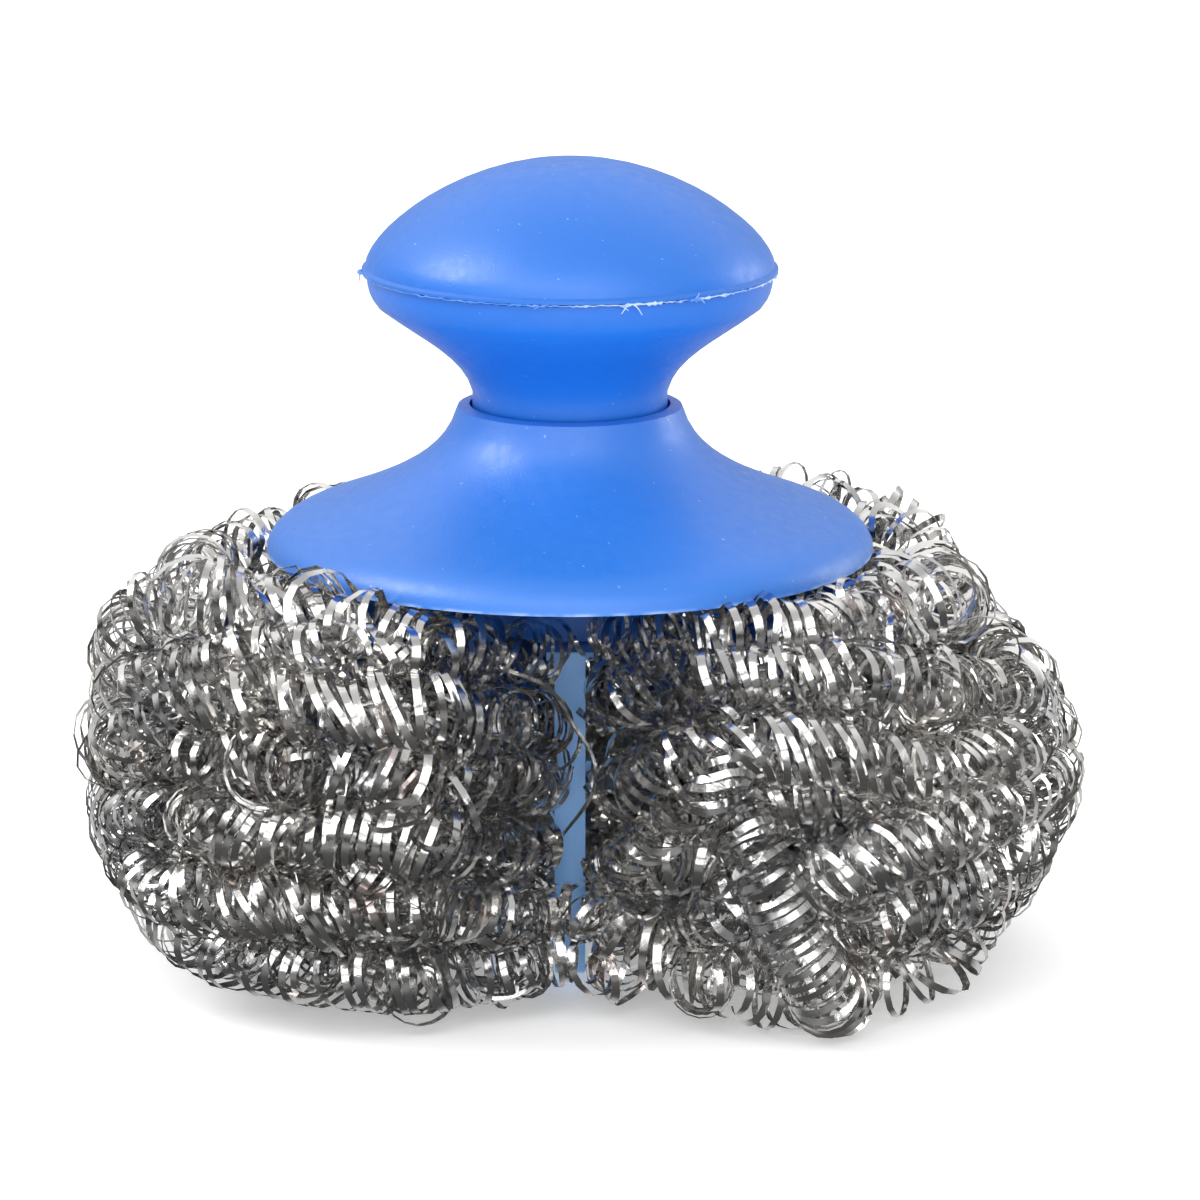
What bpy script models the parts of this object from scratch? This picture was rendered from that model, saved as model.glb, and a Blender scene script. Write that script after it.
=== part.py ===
"""Pan scourer with a screw-on grip: a spiral steel hank drawn in at its waist by a U-shaped clamp.

The clamp's two tongues rise through the hub of a bell-shaped base into the threaded socket of a
mushroom knob, so turning the knob pulls the hank up against the base.
Frame: origin on the table under the knob's axis, +Z up, +X along the hank's longer side.
"""
import math

import bmesh
import bpy
import numpy as np
from mathutils import Matrix, Vector

MM = 0.001

# Clearances between separate pieces
SEAT_GAP = 0.3 * MM
SLIDE_GAP = 0.3 * MM
HANK_GAP = 0.4 * MM

# Steel hank: rope of spiral strip, wound 2 layers deep and drawn in at its waist
HANK_HALF_LENGTH = 50.0 * MM
HANK_HALF_DEPTH = 36.0 * MM
HANK_END_TAPER = 0.16
TAPER_POWER = 2.2
HANK_TURNS_HIGH = 6
ROPE_RADIUS = 3.25 * MM
ROPE_GAP = 0.75 * MM
STRAND_RADIUS = 2.2 * MM
STRAND_GAP = 0.6 * MM
INNER_LAYER_INSET = 3.0 * MM
INNER_LAYER_LAG = 5.0 * MM
INNER_LAYER_THINNING = 0.06
WAIST_HEIGHT = 4.0 * MM
SPREAD_LENGTH = 11.0 * MM
FAN_LENGTH = 12.0 * MM
SWELL_LAG = 4.0 * MM
SWELL_LENGTH = 9.0 * MM
CLIMB_REACH = 37.0 * MM
FRONT_MIDDLE = math.radians(270.0)
DESCENT_START = math.radians(100.0)
DESCENT_SWEEP = math.radians(160.0)
ROUTE_START = math.radians(-8.0)
ROUTE_END = math.radians(98.0)
FINE_SAMPLES = 6000
POINTS_PER_LOOP = 24
BEND_WEIGHT = 8.0 * MM
FLAT_SHARE_OF_ROPE = 0.1

# Clamp yoke: a flat U strap whose ends are two halves of a split screw
STRAP_WIDTH = 3.0 * MM
STRAP_THICKNESS = 2.0 * MM
STRAP_CORNER = 1.6 * MM
STRAP_INNER_CORNER = 0.6 * MM
FLANGE_WIDTH = 4.6 * MM
FLANGE_HEIGHT = 0.8 * MM
SCREW_RADIUS = 7.5 * MM
TONGUE_WIDTH = 7.0 * MM
TONGUE_THICKNESS = 2.2 * MM
TONGUE_REACH = 13.0 * MM

# Base bell, measured up from its rim
RIM_RADIUS = 30.0 * MM
BELL_WALL = 1.8 * MM
RIM_ROLL_WIDTH = 3.5 * MM
RIM_ROLL_HEIGHT = 3.4 * MM
COLLAR_HEIGHT = 14.3 * MM
COLLAR_WALL = 1.35 * MM
COLLAR_ROUND = 0.7 * MM
RECESS_DEPTH = 2.2 * MM
HUB_WALL = 1.6 * MM
HUB_CORE_RADIUS = 3.6 * MM
BELL_RIBS = 4
RIB_THICKNESS = 1.2 * MM
RIB_RISE = 0.6 * MM

# Knob, measured up from the bell's rim
KNOB_RADIUS = 19.9 * MM
KNOB_WALL = 1.8 * MM
NECK_WALL = 1.8 * MM
EQUATOR_HEIGHT = 27.3 * MM
LIP_HEIGHT = 3.0 * MM
LIP_INSET = 1.0 * MM
NECK_STRAIGHT = 1.0 * MM
NECK_CHAMFER = 0.4 * MM
KNOB_RIBS = 6
WELD_BEAD = 0.45 * MM
WELD_BEAD_HEIGHT = 0.5 * MM
SPIGOT_DEPTH = 1.2 * MM
SPIGOT_WALL = 1.2 * MM
DOME_HEIGHT = 11.2 * MM
DOME_OVERHANG = 0.1 * MM
DIMPLE_RADIUS = 5.0 * MM
DIMPLE_DEPTH = 0.35 * MM

# Least room between the ends of a shell's two faces and what they meet
ROOT_ROOM = 0.8 * MM
EDGE_ROOM = 0.2 * MM

# Curve handles, as shares of each curve's width and height
BELL_FLARE_PULLS = ((0.08, 0.42), (0.60, 0.32))
RIM_ROLL_PULLS = ((0.60, 0.22), (0.0, 0.41))
FUNNEL_PULLS = ((0.10, 0.42), (0.44, 0.36))
LIP_PULLS = ((0.65, 0.25), (0.0, 0.40))
DOME_PULLS = ((0.56, 0.0), (0.0, 0.27))

ROUND_STEPS = 56
CURVE_STEPS = 8

# Sizes that follow from the ones above
ROPE_PITCH = 2 * ROPE_RADIUS + ROPE_GAP
STRAND_PITCH = 2 * STRAND_RADIUS + STRAND_GAP
FLAT_DEPTH = FLAT_SHARE_OF_ROPE * 2 * ROPE_RADIUS
LOWEST_ROPE = ROPE_RADIUS - FLAT_DEPTH
TOP_TURN = HANK_TURNS_HIGH - 1
HANK_TOP = LOWEST_ROPE + TOP_TURN * ROPE_PITCH + ROPE_RADIUS
RIM_HEIGHT = HANK_TOP + HANK_GAP

WAIST_INNER_COLUMN = STRAND_RADIUS + STRAND_GAP
WAIST_OUTER_COLUMN = WAIST_INNER_COLUMN + STRAND_PITCH
WAIST_BOTTOM_STRAND = WAIST_HEIGHT + STRAND_RADIUS
WAIST_TOP = WAIST_BOTTOM_STRAND + TOP_TURN * STRAND_PITCH + STRAND_RADIUS

SPREAD_START = STRAP_WIDTH / 2 + STRAND_RADIUS + 2 * HANK_GAP

LEG_INNER = WAIST_OUTER_COLUMN + STRAND_RADIUS + HANK_GAP
LEG_OUTER = LEG_INNER + STRAP_THICKNESS
CROSSBAR_TOP = WAIST_HEIGHT - HANK_GAP
FLANGE_BOTTOM = WAIST_TOP + HANK_GAP
FLANGE_TOP = FLANGE_BOTTOM + FLANGE_HEIGHT

SOCKET_RADIUS = SCREW_RADIUS + SLIDE_GAP
NECK_RADIUS = SOCKET_RADIUS + NECK_WALL
RECESS_RADIUS = NECK_RADIUS + SEAT_GAP
COLLAR_RADIUS = RECESS_RADIUS + COLLAR_WALL
HUB_RADIUS = SCREW_RADIUS + SLIDE_GAP + HUB_WALL
HUB_BOTTOM = FLANGE_TOP + SEAT_GAP - RIM_HEIGHT
INNER_FAN_START = HUB_RADIUS - STRAND_RADIUS
RECESS_FLOOR = COLLAR_HEIGHT - RECESS_DEPTH
NECK_BOTTOM = RECESS_FLOOR + SEAT_GAP
TONGUE_TOP = NECK_BOTTOM + TONGUE_REACH
SOCKET_TOP = TONGUE_TOP + SEAT_GAP + KNOB_WALL


def remove_everything():
    for old in list(bpy.data.objects):
        bpy.data.objects.remove(old, do_unlink=True)


def plain_material(name, colour, roughness, metallic=0.0):
    material = bpy.data.materials.new(name)
    material.use_nodes = True
    shader = material.node_tree.nodes["Principled BSDF"]
    shader.inputs["Base Color"].default_value = (*colour, 1.0)
    shader.inputs["Roughness"].default_value = roughness
    shader.inputs["Metallic"].default_value = metallic
    return material


def add_object(name, mesh, material, parent=None):
    piece = bpy.data.objects.new(name, mesh)
    bpy.context.scene.collection.objects.link(piece)
    piece.data.materials.append(material)
    piece.parent = parent
    return piece


def joint_empty(name, height, parent=None):
    empty = bpy.data.objects.new(name, None)
    bpy.context.scene.collection.objects.link(empty)
    empty.parent = parent
    empty.location = (0.0, 0.0, height)
    return empty


def shade(mesh, degrees=35.0):
    mesh.shade_smooth()
    mesh.set_sharp_from_angle(angle=math.radians(degrees))


def smooth_step(value, low, high):
    share = min(max((value - low) / (high - low), 0.0), 1.0)
    return share * share * (3.0 - 2.0 * share)


def swept_curve(start, end, pulls, steps=CURVE_STEPS):
    """Points along one cubic curve, both ends included. pulls are its two handles."""
    width = end[0] - start[0]
    height = end[1] - start[1]
    (start_width, start_height), (end_width, end_height) = pulls
    start_handle = (start[0] + start_width * width, start[1] + start_height * height)
    end_handle = (end[0] - end_width * width, end[1] - end_height * height)
    points = []
    for step in range(steps + 1):
        t = step / steps
        weights = ((1 - t) ** 3, 3 * t * (1 - t) ** 2, 3 * t * t * (1 - t), t ** 3)
        corners = (start, start_handle, end_handle, end)
        points.append(tuple(sum(w * c[axis] for w, c in zip(weights, corners)) for axis in (0, 1)))
    return points


def offset_inward(points, wall):
    """The same curve moved by the wall's thickness to the right of its direction."""
    moved = []
    for index, point in enumerate(points):
        before = Vector(points[max(index - 1, 0)])
        after = Vector(points[min(index + 1, len(points) - 1)])
        along = (after - before).normalized()
        moved.append((point[0] + along.y * wall, point[1] - along.x * wall))
    return moved


def radius_at(points, height):
    """Radius of a rising outline at one height."""
    ordered = sorted(points, key=lambda point: point[1])
    return float(np.interp(height, [p[1] for p in ordered], [p[0] for p in ordered]))


def turned_mesh(name, outline, steps=ROUND_STEPS):
    """A closed outline of (radius, height) points turned once round Z."""
    shape = bmesh.new()
    ring = [shape.verts.new((radius, 0.0, height)) for radius, height in outline]
    edges = [shape.edges.new((ring[i], ring[i - 1])) for i in range(len(ring))
             if max(ring[i].co.x, ring[i - 1].co.x) > 1e-7]
    bmesh.ops.spin(shape, geom=ring + edges, axis=(0, 0, 1), cent=(0, 0, 0),
                   angle=2 * math.pi, steps=steps, use_merge=True)
    bmesh.ops.remove_doubles(shape, verts=shape.verts, dist=1e-6)
    bmesh.ops.recalc_face_normals(shape, faces=shape.faces)
    mesh = bpy.data.meshes.new(name)
    shape.to_mesh(mesh)
    shape.free()
    return mesh


def prism_mesh(name, outline, low, high, axes):
    """A flat outline raised from low to high. axes maps (u, v, height) to x, y, z."""
    shape = bmesh.new()
    bottom = [shape.verts.new(axes @ Vector((u, v, low))) for u, v in outline]
    top = [shape.verts.new(axes @ Vector((u, v, high))) for u, v in outline]
    count = len(outline)
    shape.faces.new(bottom)
    shape.faces.new(top)
    for i in range(count):
        j = (i + 1) % count
        shape.faces.new((bottom[i], bottom[j], top[j], top[i]))
    bmesh.ops.recalc_face_normals(shape, faces=shape.faces)
    mesh = bpy.data.meshes.new(name)
    shape.to_mesh(mesh)
    shape.free()
    return mesh


UPRIGHT = Matrix.Identity(3)
ALONG_X = Matrix(((0, 0, 1), (1, 0, 0), (0, 1, 0)))
RADIAL = Matrix(((1, 0, 0), (0, 0, 1), (0, 1, 0)))


def combine(piece, tool_mesh, operation, rotation=0.0):
    """Adds a Boolean with a hidden tool that lies in the piece's own frame."""
    tool = bpy.data.objects.new(piece.name + "_tool", tool_mesh)
    bpy.context.scene.collection.objects.link(tool)
    tool.parent = piece
    tool.rotation_euler = (0.0, 0.0, rotation)
    tool.hide_render = True
    tool.display_type = 'WIRE'
    boolean = piece.modifiers.new(operation.lower(), 'BOOLEAN')
    boolean.operation = operation
    boolean.solver = 'EXACT'
    boolean.object = tool


def segment_outline(half_width, flat, radius, side, steps=6):
    """A bar with a flat inner face and an outer face that is an arc round the axis."""
    reach = math.asin(half_width / radius)
    arc = [(radius * math.sin(reach * (1 - 2 * i / steps)), radius * math.cos(reach * (1 - 2 * i / steps)))
           for i in range(steps + 1)]
    points = [(-half_width, flat), (half_width, flat)] + arc
    return [(x, side * y) for x, y in points]


def outer_size(turn):
    """Half length and half depth of the outer layer's loops at one height."""
    from_middle = abs(turn - TOP_TURN / 2) / (TOP_TURN / 2)
    swell = 1.0 - HANK_END_TAPER * from_middle ** TAPER_POWER
    return HANK_HALF_LENGTH * swell - ROPE_RADIUS, HANK_HALF_DEPTH * swell - ROPE_RADIUS


def rope_state(angle):
    """Turn height and layer (0 outer, 1 inner) of the rope at a travelled angle.

    The outer layer climbs one turn along each front right run. On the last of these runs the rope
    slips inward, and the inner layer then goes down one turn round each left lobe.
    """
    turn, layer = 0.0, 0.0
    for lap in range(HANK_TURNS_HIGH):
        front = FRONT_MIDDLE + lap * 2 * math.pi
        length, depth = outer_size(min(lap + 0.5, TOP_TURN))
        away = length * math.sin(min(max(angle - front, 0.0), math.pi / 2))
        run = away + depth * smooth_step(away, SPREAD_START, SPREAD_START + SPREAD_LENGTH)
        tilt = smooth_step(run, SPREAD_START, CLIMB_REACH + depth) * math.pi / 2
        left = DESCENT_START + (HANK_TURNS_HIGH + lap) * 2 * math.pi
        if lap < TOP_TURN:
            turn += 1.0 - math.cos(tilt) - smooth_step(angle, left, left + DESCENT_SWEEP)
        else:
            layer = math.sin(tilt)
    return turn, layer


def rope_point(angle):
    """Centre and radius of the rope at a travelled angle."""
    turn, layer = rope_state(angle)
    outer_length, outer_depth = outer_size(turn)
    end_length, end_depth = outer_size(TOP_TURN)
    inner_length = end_length - ROPE_PITCH
    inner_depth = end_depth - ROPE_PITCH - INNER_LAYER_INSET
    half_length = outer_length + layer * (inner_length - outer_length)
    half_depth = outer_depth + layer * (inner_depth - outer_depth)
    x = half_length * math.cos(angle)
    away = abs(x)
    start = SPREAD_START + layer * INNER_LAYER_LAG
    widest = start + SPREAD_LENGTH
    spread = smooth_step(away, start, widest)
    past_widest = max(away - widest, 0.0) / (half_length - widest)
    column = WAIST_OUTER_COLUMN + layer * (WAIST_INNER_COLUMN - WAIST_OUTER_COLUMN)
    side = math.copysign(1.0, math.sin(angle))
    y = (1.0 - spread) * column + spread * half_depth * math.sqrt(max(1.0 - past_widest ** 2, 0.0))
    thickness = 1.0 - layer * INNER_LAYER_THINNING
    low = WAIST_BOTTOM_STRAND + turn * STRAND_PITCH
    high = LOWEST_ROPE * thickness + turn * ROPE_PITCH
    fan_start = SPREAD_START + layer * (INNER_FAN_START - SPREAD_START)
    z = low + (high - low) * smooth_step(away, fan_start, fan_start + FAN_LENGTH)
    swell_start = fan_start + SWELL_LAG
    swollen = smooth_step(away, swell_start, swell_start + SWELL_LENGTH)
    radius = thickness * (STRAND_RADIUS + (ROPE_RADIUS - STRAND_RADIUS) * swollen)
    return np.array((x, side * y, z)), radius


def rope_route():
    """Centre points and radii along the whole rope, closer together where it bends."""
    end = ROUTE_END + 2 * math.pi * (2 * HANK_TURNS_HIGH - 1)
    angles = np.linspace(ROUTE_START, end, FINE_SAMPLES)
    fine = [rope_point(angle) for angle in angles]
    centres = np.array([centre for centre, _ in fine])
    radii = np.array([radius for _, radius in fine])
    steps = np.diff(centres, axis=0)
    lengths = np.linalg.norm(steps, axis=1)
    along = steps / lengths[:, None]
    bends = np.linalg.norm(np.diff(along, axis=0, append=along[-1:]), axis=1) / lengths
    travelled = np.concatenate(([0.0], np.cumsum(lengths * (1.0 + BEND_WEIGHT * bends))))
    # Each lap has 2 loops, one round each lobe
    loops = (end - ROUTE_START) / math.pi
    wanted = np.linspace(0.0, travelled[-1], int(round(loops * POINTS_PER_LOOP)))
    points = np.column_stack([np.interp(wanted, travelled, centres[:, axis]) for axis in range(3)])
    return points, np.interp(wanted, travelled, radii)


def least_gap(points, radii, skip=6):
    """Least distance between the surfaces of stretches that are not neighbours along the rope."""
    fine = np.linspace(0, len(points) - 1, 4 * len(points))
    index = np.arange(len(points))
    dense = np.column_stack([np.interp(fine, index, points[:, axis]) for axis in range(3)])
    thick = np.interp(fine, index, radii)
    least = math.inf
    for i in range(len(dense)):
        j = i + 4 * skip
        if j >= len(dense):
            break
        apart = np.linalg.norm(dense[j:] - dense[i], axis=1) - thick[j:] - thick[i]
        least = min(least, float(apart.min()))
    return least


def make_hank(material):
    points, radii = rope_route()
    print("least gap of the steel rope to itself: %.2f mm" % (least_gap(points, radii) / MM))
    curve = bpy.data.curves.new("rope", 'CURVE')
    curve.dimensions = '3D'
    curve.bevel_depth = ROPE_RADIUS
    curve.bevel_resolution = 1
    curve.use_fill_caps = True
    curve.twist_mode = 'Z_UP'
    spline = curve.splines.new('POLY')
    spline.points.add(len(points) - 1)
    for knot, centre, radius in zip(spline.points, points, radii):
        knot.co = (*centre, 1.0)
        knot.radius = radius / ROPE_RADIUS
    rope = bpy.data.objects.new("rope", curve)
    bpy.context.scene.collection.objects.link(rope)
    bpy.context.view_layer.update()
    mesh = bpy.data.meshes.new_from_object(rope.evaluated_get(bpy.context.evaluated_depsgraph_get()))
    bpy.data.objects.remove(rope, do_unlink=True)
    mesh.materials.clear()
    mesh.name = "steel_hank"
    hank = add_object("steel_hank", mesh, material)
    reach = 2 * HANK_HALF_LENGTH
    floor = [(-reach, -reach), (reach, -reach), (reach, reach), (-reach, reach)]
    combine(hank, prism_mesh("floor", floor, -reach, 0.0, UPRIGHT), 'DIFFERENCE')
    return hank


def strap_outline():
    """U shape in the YZ plane, corners rounded outside and inside."""
    bottom = CROSSBAR_TOP - STRAP_THICKNESS
    right = [(LEG_INNER, FLANGE_TOP), (LEG_OUTER, FLANGE_TOP)]
    for step in range(5):
        turn = step / 4 * math.pi / 2
        right.append((LEG_OUTER - STRAP_CORNER * (1 - math.cos(turn)),
                      bottom + STRAP_CORNER * (1 - math.sin(turn))))
    inside = [(LEG_INNER - STRAP_INNER_CORNER, CROSSBAR_TOP),
              (LEG_INNER, CROSSBAR_TOP + STRAP_INNER_CORNER)]
    left = [(-y, z) for y, z in reversed(right)]
    left_inside = [(-y, z) for y, z in reversed(inside)]
    return right + left + left_inside + inside


def make_yoke(material):
    outline = strap_outline()
    yoke = add_object("clamp_yoke", prism_mesh("clamp_yoke", outline, -STRAP_WIDTH / 2,
                                               STRAP_WIDTH / 2, ALONG_X), material)
    tongue_inner = SCREW_RADIUS - TONGUE_THICKNESS
    for side in (-1, 1):
        flange = [(-FLANGE_WIDTH / 2, side * tongue_inner), (FLANGE_WIDTH / 2, side * tongue_inner),
                  (FLANGE_WIDTH / 2, side * LEG_OUTER), (-FLANGE_WIDTH / 2, side * LEG_OUTER)]
        combine(yoke, prism_mesh("flange", flange, FLANGE_BOTTOM, FLANGE_TOP, UPRIGHT), 'UNION')
        tongue = segment_outline(TONGUE_WIDTH / 2, tongue_inner, SCREW_RADIUS, side)
        combine(yoke, prism_mesh("tongue", tongue, FLANGE_BOTTOM + FLANGE_HEIGHT / 2,
                                 RIM_HEIGHT + TONGUE_TOP, UPRIGHT), 'UNION')
    return yoke


def bell_outer_curve():
    """Outer side of the bell from the collar down to the rim, heights above the rim."""
    top = (COLLAR_RADIUS, COLLAR_HEIGHT - COLLAR_ROUND)
    roll = (RIM_RADIUS - RIM_ROLL_WIDTH, RIM_ROLL_HEIGHT)
    flare = swept_curve(top, roll, BELL_FLARE_PULLS, CURVE_STEPS + 2)
    rolled = swept_curve(roll, (RIM_RADIUS, 0.0), RIM_ROLL_PULLS, CURVE_STEPS - 3)
    return flare + rolled[1:]


def make_bell(material, joint):
    outer = bell_outer_curve()
    under = [(r, z) for r, z in offset_inward(outer, BELL_WALL)
             if r > HUB_RADIUS + ROOT_ROOM and z > 0.0]
    rim_inner = (under[-1][0], 0.0)
    cut = COLLAR_ROUND * (1 - math.cos(math.pi / 4))
    collar = [(RECESS_RADIUS, COLLAR_HEIGHT), (COLLAR_RADIUS - COLLAR_ROUND, COLLAR_HEIGHT),
              (COLLAR_RADIUS - cut, COLLAR_HEIGHT - cut)]
    hub = [(HUB_CORE_RADIUS, RECESS_FLOOR), (RECESS_RADIUS, RECESS_FLOOR)]
    foot = [(HUB_RADIUS, HUB_BOTTOM), (HUB_CORE_RADIUS, HUB_BOTTOM)]
    shoulder = [(HUB_RADIUS, under[0][1])]
    outline = hub + collar + outer + [rim_inner] + under[::-1] + shoulder + foot
    mesh = turned_mesh("base_bell", outline)
    bell = add_object("base_bell", mesh, material, joint)
    middle = [(r, z) for r, z in offset_inward(outer, BELL_WALL / 2)
              if RIB_RISE < z < under[0][1] and r > HUB_RADIUS]
    rib = [(HUB_RADIUS - HUB_WALL / 2, RIB_RISE), (middle[-1][0], RIB_RISE)] + middle[::-1]
    rib.append((HUB_RADIUS - HUB_WALL / 2, middle[0][1]))
    for number in range(BELL_RIBS):
        turn = (number + 0.5) * 2 * math.pi / BELL_RIBS
        combine(bell, prism_mesh("rib", rib, -RIB_THICKNESS / 2, RIB_THICKNESS / 2, RADIAL), 'UNION', turn)
    for side in (-1, 1):
        slot = segment_outline(TONGUE_WIDTH / 2 + SLIDE_GAP, SCREW_RADIUS - TONGUE_THICKNESS - SLIDE_GAP,
                               SCREW_RADIUS + SLIDE_GAP, side)
        combine(bell, prism_mesh("slot", slot, HUB_BOTTOM - HUB_WALL, RECESS_FLOOR + HUB_WALL, UPRIGHT),
                'DIFFERENCE')
    return bell


def funnel_curve():
    """Outer side of the knob's lower shell, from its neck up to the weld line."""
    start = (NECK_RADIUS, NECK_BOTTOM + NECK_STRAIGHT + RECESS_DEPTH)
    lip = (KNOB_RADIUS - LIP_INSET, EQUATOR_HEIGHT - LIP_HEIGHT)
    flare = swept_curve(start, lip, FUNNEL_PULLS)
    turn_in = swept_curve(lip, (KNOB_RADIUS, EQUATOR_HEIGHT), LIP_PULLS, CURVE_STEPS // 2)
    return flare + turn_in[1:]


def make_knob_body(material, joint):
    outer = funnel_curve()
    inner = [(r, z) for r, z in offset_inward(outer[::-1], KNOB_WALL)
             if r > NECK_RADIUS + ROOT_ROOM and z < EQUATOR_HEIGHT - EDGE_ROOM]
    rim_inner = (inner[0][0], EQUATOR_HEIGHT)
    boss = [(NECK_RADIUS, inner[-1][1]), (NECK_RADIUS, SOCKET_TOP - KNOB_WALL),
            (SOCKET_RADIUS, SOCKET_TOP - KNOB_WALL)]
    neck = [(SOCKET_RADIUS, NECK_BOTTOM), (NECK_RADIUS - NECK_CHAMFER, NECK_BOTTOM),
            (NECK_RADIUS, NECK_BOTTOM + NECK_CHAMFER)]
    outline = neck + outer + [rim_inner] + inner + boss
    body = add_object("knob_body", turned_mesh("knob_body", outline), material, joint)
    middle = offset_inward(outer[::-1], KNOB_WALL / 2)
    rib_top = EQUATOR_HEIGHT - LIP_HEIGHT - SPIGOT_DEPTH
    middle = [(r, z) for r, z in middle if z < rib_top and r > NECK_RADIUS]
    rib = [(NECK_RADIUS - NECK_WALL / 2, rib_top), (radius_at(middle, rib_top), rib_top)] + middle
    rib.append((NECK_RADIUS - NECK_WALL / 2, middle[-1][1]))
    for number in range(KNOB_RIBS):
        combine(body, prism_mesh("web", rib, -RIB_THICKNESS / 2, RIB_THICKNESS / 2, RADIAL),
                'UNION', number * 2 * math.pi / KNOB_RIBS)
    return body


def dome_curve():
    """Outer side of the cap from its dimpled crown down to the weld line."""
    foot = (KNOB_RADIUS + DOME_OVERHANG, EQUATOR_HEIGHT + SEAT_GAP + WELD_BEAD_HEIGHT)
    crown = (0.0, EQUATOR_HEIGHT + DOME_HEIGHT)
    side = swept_curve(crown, foot, DOME_PULLS, CURVE_STEPS + 6)
    sunk = []
    for radius, z in side:
        dip = 0.5 + 0.5 * math.cos(math.pi * min(radius / DIMPLE_RADIUS, 1.0))
        sunk.append((radius, z - DIMPLE_DEPTH * dip))
    return sunk


def make_knob_cap(material, joint):
    outer = dome_curve()
    inner = [(max(r, 0.0), z) for r, z in offset_inward(outer, KNOB_WALL)
             if z > EQUATOR_HEIGHT + KNOB_WALL]
    inner[0] = (0.0, inner[0][1])
    base = EQUATOR_HEIGHT + SEAT_GAP
    bead = [(KNOB_RADIUS + WELD_BEAD, base + 0.5 * WELD_BEAD_HEIGHT), (KNOB_RADIUS + WELD_BEAD, base)]
    wall_inside = offset_inward(funnel_curve()[::-1], KNOB_WALL)
    spigot_outer = radius_at(wall_inside, EQUATOR_HEIGHT - SPIGOT_DEPTH) - SEAT_GAP
    spigot_inner = spigot_outer - SPIGOT_WALL
    spigot = [(spigot_outer, base), (spigot_outer, EQUATOR_HEIGHT - SPIGOT_DEPTH),
              (spigot_inner, EQUATOR_HEIGHT - SPIGOT_DEPTH), (spigot_inner, base)]
    outline = outer + bead + spigot + inner[::-1]
    return add_object("knob_cap", turned_mesh("knob_cap", outline), material, joint)


def build():
    remove_everything()
    plastic = plain_material("blue_plastic", (0.07, 0.26, 0.80), 0.42)
    steel = plain_material("bright_steel", (0.62, 0.61, 0.60), 0.25, 1.0)
    lift = joint_empty("base_lift", RIM_HEIGHT)
    turn = joint_empty("knob_turn", 0.0, lift)
    pieces = [make_hank(steel), make_yoke(plastic), make_bell(plastic, lift),
              make_knob_body(plastic, turn), make_knob_cap(plastic, turn)]
    for piece in pieces:
        shade(piece.data)


build()
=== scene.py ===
"""Pan scourer: a hank of spiral steel strip, held by a blue clamp under a bell-shaped base and knob."""
import math

import bpy
import numpy as np
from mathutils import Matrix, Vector


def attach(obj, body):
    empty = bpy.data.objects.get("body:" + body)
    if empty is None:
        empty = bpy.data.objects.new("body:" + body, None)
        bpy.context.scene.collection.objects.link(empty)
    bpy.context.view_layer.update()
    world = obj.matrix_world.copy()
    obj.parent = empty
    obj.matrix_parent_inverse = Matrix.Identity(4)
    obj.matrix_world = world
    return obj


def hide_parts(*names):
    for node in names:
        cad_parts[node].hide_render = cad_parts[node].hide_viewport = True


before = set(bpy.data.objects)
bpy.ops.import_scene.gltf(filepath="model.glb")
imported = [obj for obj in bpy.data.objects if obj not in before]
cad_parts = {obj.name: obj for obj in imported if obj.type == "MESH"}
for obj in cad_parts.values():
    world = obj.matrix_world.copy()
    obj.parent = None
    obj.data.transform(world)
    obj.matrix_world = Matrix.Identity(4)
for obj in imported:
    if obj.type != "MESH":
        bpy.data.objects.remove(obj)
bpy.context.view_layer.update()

MM = 0.001
SEED = 21
FULL_TURN = 2 * math.pi

# Camera, as the photograph's own perspective gives it: places in mm, and the nearest thing it sees in m
RIM_HEIGHT = 42.5
CAMERA_AWAY = 448.06
CAMERA_ABOVE_RIM = 103.3
CAMERA_DOWN = math.radians(13.67)
LENS = 139.28
SENSOR = 36.0
SHIFT_X = 0.025
NEAREST_SEEN = 0.01

# Brightness of the studio, from straight down (0) to straight up (1),
# and what is added to it, from the front (0) to the white sweep behind (1)
STUDIO_BY_HEIGHT = ((0.0, 0.08), (0.24, 0.12), (0.35, 0.34), (0.44, 0.28), (0.50, 0.03),
                    (0.58, 0.04), (0.66, 0.28), (0.75, 0.72), (1.0, 0.72))
STUDIO_BEHIND = ((0.54, 0.0), (0.76, 0.50))

# Lights: a wide sun, and area lights with their place and size in m and power in W, all aimed at one point
SUN_STRENGTH = 1.2
SUN_WIDTH = math.radians(30.0)
SUN_DIRECTION = (-0.71, -0.09, 0.70)
AIM = (0.0, 0.0, 0.04)
FRONT_LIGHTS = (
    ("front_box", (-0.10, -0.95, 0.90), (1.50, 0.90), 7.8),
    ("low_box", (0.10, -1.3, 0.20), (1.00, 0.40), 3.4),
)
UPRIGHT_LIGHTS = (("upright_left", -38.0), ("upright_middle", 22.0), ("upright_right", 52.0))
UPRIGHT_AWAY, UPRIGHT_HEIGHT = 1.1, 0.34
UPRIGHT_SIZE, UPRIGHT_POWER = (0.10, 0.46), 0.5
SIDE_LIGHTS = (
    ("right_box", (1.0, 0.55, 0.30), (0.40, 0.50), 3.0),
    ("left_box", (-0.79, -0.04, 0.80), (0.50, 0.50), 3.0),
)
# The light that only adds sheen
SHEEN_LIGHT = "left_box"

# The floor, in m: its size, how far it lies below the object, and how strongly it glows, to stay pale
FLOOR_SIZE = 60.0
FLOOR_DROP = 0.0001
FLOOR_GLOW = 0.3

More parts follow.
